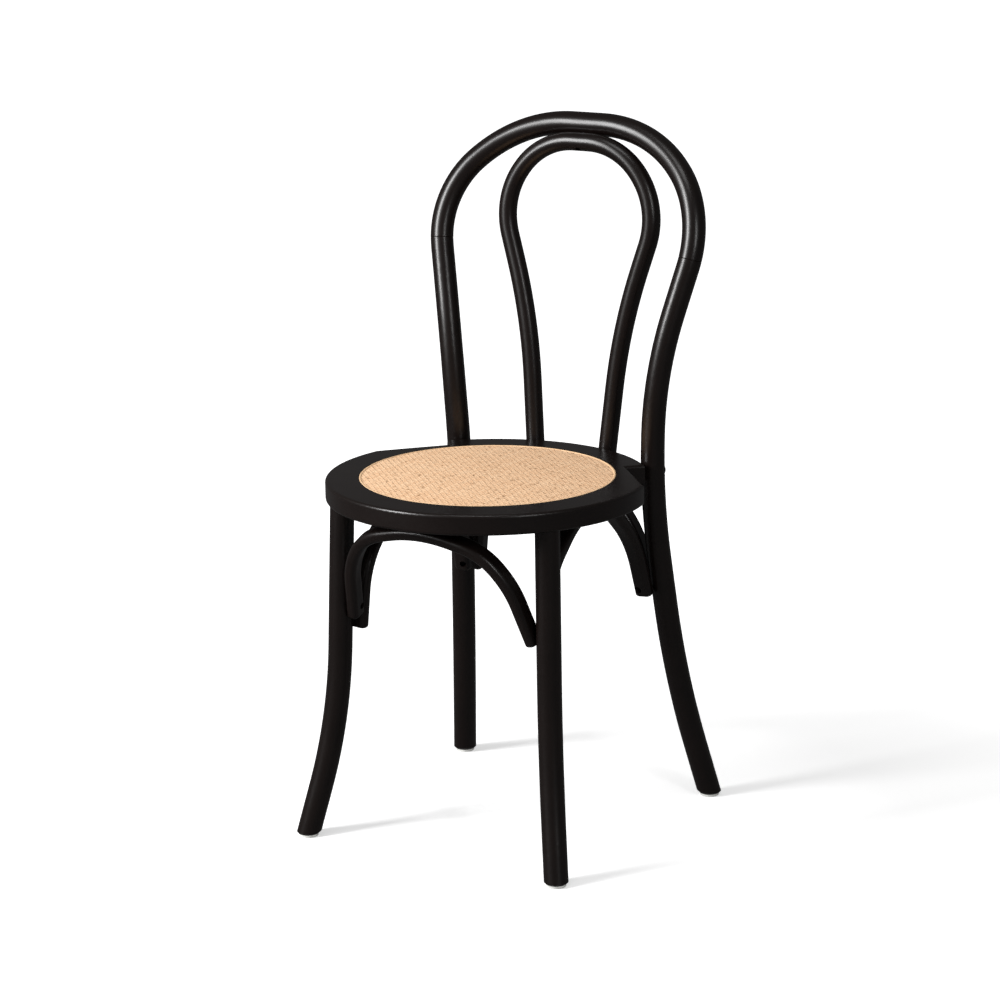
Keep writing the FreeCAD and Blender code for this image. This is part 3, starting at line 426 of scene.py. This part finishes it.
# Each line names a result, the operation and its terms. x and y are a point of the flat strips.
STRAND_SUMS = (
    ("span", "MULTIPLY", "Radius", 2.0),
    ("gaps", "SUBTRACT", "Strands", 1.0),
    ("back", "MULTIPLY", "Pitch", -0.5),
    ("first", "MULTIPLY", "gaps", "back"),
    ("row", "DIVIDE", "y", "Pitch"),
    ("number", "ROUND", "row"),
    ("middle", "MULTIPLY", "number", "Pitch"),
    ("aside", "SUBTRACT", "y", "middle"),
    ("half_width", "MULTIPLY", "Width", 0.5),
    ("across", "DIVIDE", "aside", "half_width"),
    ("strand", "ADD", "number", "Seed"),
    ("steps", "DIVIDE", "x", "Pitch"),
    ("shifted", "ADD", "number", "Phase"),
    ("turns", "ADD", "steps", "shifted"),
    ("angle", "MULTIPLY", "turns", math.pi),
    ("wave", "COSINE", "angle"),
)
# The strands wander, follow the crown, rise and dip, and bend down past the panel's edge.
PLACE_SUMS = (
    ("drift", "SUBTRACT", "noise", 0.5),
    ("sway", "MULTIPLY", "Wander", 2.0),
    ("offset", "MULTIPLY", "drift", "sway"),
    ("new_y", "ADD", "y", "offset"),
    ("x_squared", "MULTIPLY", "x", "x"),
    ("y_squared", "MULTIPLY", "new_y", "new_y"),
    ("squares", "ADD", "x_squared", "y_squared"),
    ("out", "SQRT", "squares"),
    ("share", "DIVIDE", "out", "Radius"),
    ("beyond", "SUBTRACT", "share", 1.0),
    ("inside", "MINIMUM", "share", 1.0),
    ("at_least", "MAXIMUM", "share", 0.01),
    ("pull", "DIVIDE", "inside", "at_least"),
    ("share_squared", "MULTIPLY", "share", "share"),
    ("dome", "SUBTRACT", 1.0, "share_squared"),
    ("bow", "MULTIPLY", "Crown", "dome"),
    ("across_squared", "MULTIPLY", "across", "across"),
    ("edge_fall", "MULTIPLY", "across_squared", 0.5),
    ("roundness", "SUBTRACT", 0.5, "edge_fall"),
    ("skin", "MULTIPLY", "Thickness", "roundness"),
    ("past", "MAXIMUM", "beyond", 0.0),
    ("steepness", "MULTIPLY", "Radius", -0.7),
    ("tuck", "MULTIPLY", "past", "steepness"),
    ("ripple", "MULTIPLY", "wave", "Lift"),
    ("body", "ADD", "bow", "skin"),
    ("bend", "ADD", "tuck", "ripple"),
    ("rise", "ADD", "body", "bend"),
    ("new_x", "MULTIPLY", "x", "pull"),
    ("pulled_y", "MULTIPLY", "new_y", "pull"),
)


def add_sums(tree: bpy.types.NodeTree, known: dict[str, bpy.types.NodeSocket],
             sums: tuple[tuple[Any, ...], ...]) -> None:
    """Adds a list of sums to a tree, and each result to what is known.

    Args:
        tree: The tree that takes the sums.
        known: The outputs that a term may name, which grows by each result.
        sums: For each sum its result's name, the operation, and terms by name or value.
    """
    for name, operation, *terms in sums:
        values = {at: known.get(term, term) for at, term in enumerate(terms)}
        known[name] = add_node(tree, "ShaderNodeMath", values, operation=operation).outputs[0]


@dataclass
class WovenPanel:
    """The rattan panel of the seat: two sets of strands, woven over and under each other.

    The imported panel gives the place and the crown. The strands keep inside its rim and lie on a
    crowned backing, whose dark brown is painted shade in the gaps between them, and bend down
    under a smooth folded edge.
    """

    pitch: float = 4.4 * MM
    strand_width: float = 4.1 * MM
    strand_thickness: float = 0.7 * MM
    lift: float = 0.45 * MM
    wander: float = 0.55 * MM
    wander_length_mm: float = 1000 / 60
    trim: float = 0.012
    seed_step: float = 1000.0
    steps_per_pitch: int = 4
    edge_width: float = 3.0 * MM
    edge_height: float = 1.0 * MM
    edge_steps: int = 8
    backing_depth: float = 1.9 * MM
    backing_steps: int = 12
    rattan: Rattan = field(default_factory=Rattan)
    folded: Streaked = Streaked("folded_rattan", "#edcba3", "#dcb287", 4.0, 0.5)
    # The dark brown sheet under the strands: painted shade, which shows in the gaps between them.
    painted_gap_shade: Streaked = Streaked("rattan_backing_painted_shade", "#a3764c", "#7a5535", 3.0, 0.8)

    def __post_init__(self) -> None:
        """Takes the panel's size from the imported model."""
        low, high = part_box("rattan_panel")
        self.centre = Vector(((low.x + high.x) / 2, (low.y + high.y) / 2, 0))
        self.radius = (high.x - low.x) / 2
        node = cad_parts["rattan_panel"]
        rim = [v.co.z for v in node.data.vertices
               if (v.co.xy - self.centre.xy).length > self.radius - MM]
        self.rim_top = max(rim)
        self.bottom = low.z
        self.crown = high.z - self.rim_top

    def weave_tree(self) -> bpy.types.NodeTree:
        """The node tree that weaves one set of strands.

        Returns:
            A tree with the strands' sizes as named inputs.
        """
        tree = bpy.data.node_groups.new("weave_strands", "GeometryNodeTree")
        face = tree.interface
        for name in ("Radius", "Pitch", "Width", "Thickness", "Lift", "Wander", "Crown", "Turn",
                     "Phase", "Seed"):
            face.new_socket(name, in_out="INPUT", socket_type="NodeSocketFloat")
        for name in ("Strands", "Steps"):
            face.new_socket(name, in_out="INPUT", socket_type="NodeSocketInt")
        face.new_socket("Place", in_out="INPUT", socket_type="NodeSocketVector")
        face.new_socket("Finish", in_out="INPUT", socket_type="NodeSocketMaterial")
        face.new_socket("Strips", in_out="OUTPUT", socket_type="NodeSocketGeometry")
        known = {socket.name: socket for socket in add_node(tree, "NodeGroupInput").outputs}

        position = add_node(tree, "GeometryNodeInputPosition")
        parts = add_node(tree, "ShaderNodeSeparateXYZ", {0: position.outputs[0]})
        known["x"], known["y"] = parts.outputs[0], parts.outputs[1]
        add_sums(tree, known, STRAND_SUMS)
        along = add_node(tree, "ShaderNodeCombineXYZ", {0: known["x"], 1: known["strand"]})
        noise = add_node(tree, "ShaderNodeTexNoise", {
            "Vector": along.outputs[0], "Scale": per_metre(self.wander_length_mm), "Detail": 1.0})
        known["noise"] = noise.outputs[0]
        add_sums(tree, known, PLACE_SUMS)

        start = add_node(tree, "ShaderNodeCombineXYZ", {1: known["first"]})
        step = add_node(tree, "ShaderNodeCombineXYZ", {1: known["Pitch"]})
        rows = add_node(tree, "GeometryNodeMeshLine", {
            "Count": known["Strands"], "Start Location": start.outputs[0],
            "Offset": step.outputs[0]})
        strip = add_node(tree, "GeometryNodeMeshGrid", {
            "Size X": known["span"], "Size Y": known["Width"], "Vertices X": known["Steps"],
            "Vertices Y": 4})
        copies = add_node(tree, "GeometryNodeInstanceOnPoints", {
            "Points": rows.outputs[0], "Instance": strip.outputs[0]})
        strips = add_node(tree, "GeometryNodeRealizeInstances", {0: copies.outputs[0]})
        stored = strips.outputs[0]
        for name, value in (("strand", "strand"), ("along", "x"), ("height", "wave")):
            stored = add_node(tree, "GeometryNodeStoreNamedAttribute", {
                "Geometry": stored, "Name": name, "Value": known[value]},
                data_type="FLOAT", domain="POINT").outputs[0]
        outside = add_node(tree, "FunctionNodeCompare", {0: known["beyond"], 1: self.trim},
                           data_type="FLOAT", operation="GREATER_THAN")
        kept = add_node(tree, "GeometryNodeDeleteGeometry", {
            "Geometry": stored, "Selection": outside.outputs[0]}, domain="POINT")
        woven = add_node(tree, "ShaderNodeCombineXYZ", {
            0: known["new_x"], 1: known["pulled_y"], 2: known["rise"]})
        moved = add_node(tree, "GeometryNodeSetPosition", {
            "Geometry": kept.outputs[0], "Position": woven.outputs[0]})
        turned = add_node(tree, "ShaderNodeCombineXYZ", {2: known["Turn"]})
        seated = add_node(tree, "GeometryNodeTransform", {
            "Geometry": moved.outputs[0], "Translation": known["Place"],
            "Rotation": turned.outputs[0]})
        smooth = add_node(tree, "GeometryNodeSetShadeSmooth", {"Geometry": seated.outputs[0]})
        real = add_node(tree, "GeometryNodeRealizeInstances", {0: smooth.outputs[0]})
        finished = add_node(tree, "GeometryNodeSetMaterial", {
            "Geometry": real.outputs[0], "Material": known["Finish"]})
        add_node(tree, "NodeGroupOutput", {0: finished.outputs[0]})
        return tree

    def weave(self, tree: bpy.types.NodeTree, name: str, turn: float, phase: float,
              finish: bpy.types.Material) -> bpy.types.Object:
        """Weaves one set of strands.

        Args:
            tree: The tree from weave_tree.
            name: The name of the piece.
            turn: The direction of the strands from +X, in radians.
            phase: 0 for the set that starts over, 1 for the set that starts under.
            finish: The strands' material.

        Returns:
            A plain mesh object.
        """
        inner = self.radius - self.edge_width / 2
        count = math.ceil(inner / self.pitch) * 2 + 1
        top = self.rim_top - self.strand_thickness / 2 - self.lift
        return grow(name, tree, {
            "Radius": inner, "Pitch": self.pitch, "Width": self.strand_width,
            "Thickness": self.strand_thickness, "Lift": self.lift, "Wander": self.wander,
            "Crown": self.crown, "Turn": turn, "Phase": phase, "Seed": phase * self.seed_step,
            "Strands": count, "Steps": count * self.steps_per_pitch + 1,
            "Place": Vector((self.centre.x, self.centre.y, top)), "Finish": finish})

    def folded_edge(self) -> bpy.types.Object:
        """Makes the smooth edge of the panel, a low rounded band just inside the ring.

        Returns:
            A closed mesh object.
        """
        middle, half = self.radius - self.edge_width / 2, self.edge_width / 2
        level = self.rim_top - self.edge_height / 2
        angles = [math.pi * step / self.edge_steps for step in range(self.edge_steps + 1)]
        profile = [(middle + math.cos(angle) * half, level + math.sin(angle) * self.edge_height)
                   for angle in angles]
        return turned_ring("rattan_edge", self.centre, profile, self.folded.build())

    def backing(self) -> bpy.types.Object:
        """Makes the crowned sheet under the strands, closed down to the panel's underside.

        Returns:
            A closed mesh object.
        """
        # The sheet's dark brown is painted shade, which shows in the gaps between the strands.
        profile = [(0.0, self.bottom), (self.radius, self.bottom)]
        for step in range(self.backing_steps + 1):
            radius = self.radius * (1 - step / self.backing_steps)
            rise = self.crown * (1 - (radius / self.radius) ** 2)
            profile.append((radius, self.rim_top - self.backing_depth + rise))
        return turned_ring("rattan_backing_painted_shade", self.centre, profile, self.painted_gap_shade.build())

    def build(self) -> None:
        """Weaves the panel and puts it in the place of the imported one."""
        tree = self.weave_tree()
        finish = self.rattan.build()
        pieces = [self.backing(), self.folded_edge(),
                  self.weave(tree, "rattan_warp", 0.0, 0.0, finish),
                  self.weave(tree, "rattan_weft", math.pi / 2, 1.0, finish)]
        for piece in pieces:
            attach(piece, BODY)
            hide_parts("rattan_panel")
            LOG.info("%s: %d faces", piece.name, len(piece.data.polygons))


def turned_ring(name: str, centre: Vector, profile: list[tuple[float, float]],
                finish: bpy.types.Material, around: int = 180) -> bpy.types.Object:
    """Turns a closed profile round an upright axis.

    Args:
        name: The name of the piece.
        centre: A point of the axis.
        profile: Radius and height of each corner, in order round the section.
        finish: The piece's material.
        around: The number of steps in a full turn.

    Returns:
        A closed mesh object whose faces point outwards.
    """
    mesh = bmesh.new()
    angles = [2 * math.pi * turn / around for turn in range(around)]
    rings = [[mesh.verts.new((centre.x + radius * math.cos(angle),
                              centre.y + radius * math.sin(angle), z)) for angle in angles]
             for radius, z in profile]
    for this, following in zip(rings, rings[1:] + rings[:1]):
        for turn in range(around):
            after = (turn + 1) % around
            face = mesh.faces.new((this[turn], this[after], following[after], following[turn]))
            face.smooth = True
    bmesh.ops.remove_doubles(mesh, verts=mesh.verts, dist=0.001 * MM)
    bmesh.ops.recalc_face_normals(mesh, faces=mesh.faces)
    data = bpy.data.meshes.new(name)
    mesh.to_mesh(data)
    mesh.free()
    data.materials.append(finish)
    ring = bpy.data.objects.new(name, data)
    bpy.context.scene.collection.objects.link(ring)
    return ring


def grow(name: str, tree: bpy.types.NodeTree, values: dict[str, Any]) -> bpy.types.Object:
    """Runs a Geometry Nodes tree once and keeps the result as a plain mesh.

    Args:
        name: The name of the new object.
        tree: The tree to run.
        values: A value for each of the tree's named inputs.

    Returns:
        The object, at the origin and without modifiers.
    """
    holder = bpy.data.objects.new(name, bpy.data.meshes.new(f"{name}_seed"))
    bpy.context.scene.collection.objects.link(holder)
    modifier = holder.modifiers.new("grow", "NODES")
    modifier.node_group = tree
    for item in tree.interface.items_tree:
        if item.in_out == "INPUT":
            modifier[item.identifier] = values[item.name]
    bpy.context.view_layer.update()
    evaluated = holder.evaluated_get(bpy.context.evaluated_depsgraph_get())
    mesh = bpy.data.meshes.new_from_object(evaluated)
    mesh.name = name
    holder.modifiers.remove(modifier)
    holder.data = mesh
    return holder


@dataclass(frozen=True)
class Softbox:
    """A rectangular soft lamp that faces the chair.

    side is in degrees to the right of the camera, seen from the chair, rise is in degrees above
    the level of the seat, and away is the distance from the chair.
    """

    name: str
    side: float
    rise: float
    away: float
    width: float
    height: float
    watts: float


@dataclass
class Studio:
    """The camera, lamps, floor and surround.

    Satin black would show a surround that is white all round as grey, so what gloss sees of the
    floor and the surround is dimmer than what the camera sees.
    """

    azimuth: float = 31.89
    elevation: float = 13.75
    roll: float = -0.92
    distance: float = 3.945
    focal_pixels: float = 3237.0
    image_pixels: float = 1000.0
    sensor_mm: float = 36.0
    target_height: float = 0.45
    target_pixel: tuple[float, float] = (487.44, 474.32)
    floor_reach: float = 12.0
    floor_paint: str = "#e7e7e7"
    shadow_floor: float = 0.5
    shadow_start: float = 0.5
    shadow_end: float = 1.4
    mirrored_floor: float = 0.1
    mirrored_surround: float = 0.1
    surround_light: float = 0.22
    softboxes: tuple[Softbox, ...] = (
        Softbox("left_softbox", -69, 27, 2.6, 0.75, 1.4, 105),
        Softbox("right_softbox", 28, 25, 3.2, 0.25, 1.2, 18),
        Softbox("top_softbox", -20, 75, 2.4, 0.9, 0.7, 9))

    def __post_init__(self) -> None:
        """Aims at the middle of the seat."""
        low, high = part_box("rattan_panel")
        self.target = Vector((0.0, (low.y + high.y) / 2, self.target_height))

    def camera_axes(self) -> tuple[Vector, Vector, Vector]:
        """Works out the camera's axes.

        Returns:
            Right, up and back of the camera, with its roll.
        """
        turn, rise, roll = (math.radians(v) for v in (self.azimuth, self.elevation, self.roll))
        back = Vector((math.sin(turn) * math.cos(rise), -math.cos(turn) * math.cos(rise),
                       math.sin(rise)))
        right = Vector((math.cos(turn), math.sin(turn), 0.0))
        up = back.cross(right)
        spin = Matrix.Rotation(roll, 3, back)
        return spin @ right, spin @ up, back

    def build_camera(self) -> None:
        """Places the camera at the photograph's viewpoint."""
        right, up, back = self.camera_axes()
        data = bpy.data.cameras.new("photo_camera")
        data.sensor_width = self.sensor_mm
        data.sensor_fit = "AUTO"
        data.lens = self.focal_pixels / self.image_pixels * self.sensor_mm
        half = self.image_pixels / 2
        data.shift_x = (half - self.target_pixel[0]) / self.image_pixels
        data.shift_y = -(half - self.target_pixel[1]) / self.image_pixels
        camera = bpy.data.objects.new("photo_camera", data)
        place = self.target + back * self.distance
        turned = Matrix((right, up, back)).transposed().to_4x4()
        camera.matrix_world = Matrix.Translation(place) @ turned
        bpy.context.scene.collection.objects.link(camera)
        bpy.context.scene.camera = camera

    def add_softbox(self, box: Softbox) -> None:
        """Adds one lamp.

        Args:
            box: The lamp's place, size and power.
        """
        turn = math.radians(self.azimuth + box.side)
        tilt = math.radians(box.rise)
        direction = Vector((math.sin(turn) * math.cos(tilt), -math.cos(turn) * math.cos(tilt),
                            math.sin(tilt)))
        data = bpy.data.lights.new(box.name, "AREA")
        data.shape = "RECTANGLE"
        data.size, data.size_y = box.width, box.height
        data.energy = box.watts
        lamp = bpy.data.objects.new(box.name, data)
        lamp.location = self.target + direction * box.away
        lamp.rotation_euler = direction.to_track_quat("Z", "Y").to_euler()
        bpy.context.scene.collection.objects.link(lamp)

    def floor_material(self) -> bpy.types.Material:
        """White paint that keeps the chair's shadow and is plain white further out.

        Returns:
            The material.
        """
        material, tree = new_material("white_floor")
        place = add_node(tree, "ShaderNodeTexCoord").outputs["Object"]
        out = add_node(tree, "ShaderNodeVectorMath", {0: place}, operation="LENGTH")
        level = add_node(tree, "ShaderNodeMapRange", {
            "Value": out.outputs["Value"], "From Min": self.shadow_start,
            "From Max": self.shadow_end, "To Min": self.shadow_floor, "To Max": 1.0})
        paint = add_node(tree, "ShaderNodeBsdfDiffuse", {"Color": linear(self.floor_paint)})
        glow = add_node(tree, "ShaderNodeEmission", {
            "Color": WHITE, "Strength": level.outputs[0]})
        lit = add_node(tree, "ShaderNodeAddShader", {0: paint.outputs[0], 1: glow.outputs[0]})
        dim = add_node(tree, "ShaderNodeEmission", {
            "Color": WHITE, "Strength": self.mirrored_floor})
        path = add_node(tree, "ShaderNodeLightPath")
        shown = add_node(tree, "ShaderNodeMixShader", {
            0: path.outputs["Is Camera Ray"], 1: paint.outputs[0], 2: lit.outputs[0]})
        mixed = add_node(tree, "ShaderNodeMixShader", {
            0: path.outputs["Is Glossy Ray"], 1: shown.outputs[0], 2: dim.outputs[0]})
        add_node(tree, "ShaderNodeOutputMaterial", {"Surface": mixed.outputs[0]})
        return material

    def build_floor(self) -> None:
        """Lays the floor."""
        reach = self.floor_reach
        mesh = bpy.data.meshes.new("studio_floor")
        mesh.from_pydata([(-reach, -reach, 0), (reach, -reach, 0), (reach, reach, 0),
                          (-reach, reach, 0)], [], [(0, 1, 2, 3)])
        mesh.materials.append(self.floor_material())
        floor = bpy.data.objects.new("studio_floor", mesh)
        bpy.context.scene.collection.objects.link(floor)

    def build_world(self) -> None:
        """Makes a soft surround that reads as white behind the chair."""
        world = bpy.data.worlds.new("studio_world")
        bpy.context.scene.world = world
        world.use_nodes = True
        tree = world.node_tree
        tree.nodes.clear()
        path = add_node(tree, "ShaderNodeLightPath")
        shiny = add_node(tree, "ShaderNodeMath", {
            0: path.outputs["Is Glossy Ray"], 1: path.outputs["Is Transmission Ray"]},
            operation="MAXIMUM")
        lit = add_node(tree, "ShaderNodeMapRange", {
            "Value": path.outputs["Is Camera Ray"], "To Min": self.surround_light, "To Max": 1.0})
        strength = add_node(tree, "ShaderNodeMix", {
            0: shiny.outputs[0], 2: lit.outputs[0], 3: self.mirrored_surround},
            data_type="FLOAT")
        glow = add_node(tree, "ShaderNodeBackground", {
            "Color": WHITE, "Strength": strength.outputs[0]})
        add_node(tree, "ShaderNodeOutputWorld", {"Surface": glow.outputs[0]})

    def build(self) -> None:
        """Builds the whole studio."""
        self.build_camera()
        self.build_floor()
        self.build_world()
        for box in self.softboxes:
            self.add_softbox(box)
        bpy.context.scene.view_settings.view_transform = "Standard"


def main() -> None:
    """Builds the chair and the studio in order."""
    logging.basicConfig(level=logging.INFO, format="%(name)s: %(message)s")
    Studio().build()
    for part in (BentFrame(), Hardware(), Feet(), WovenPanel()):
        part.build()
        LOG.info("built %s", type(part).__name__)


if __name__ == "__main__":
    main()
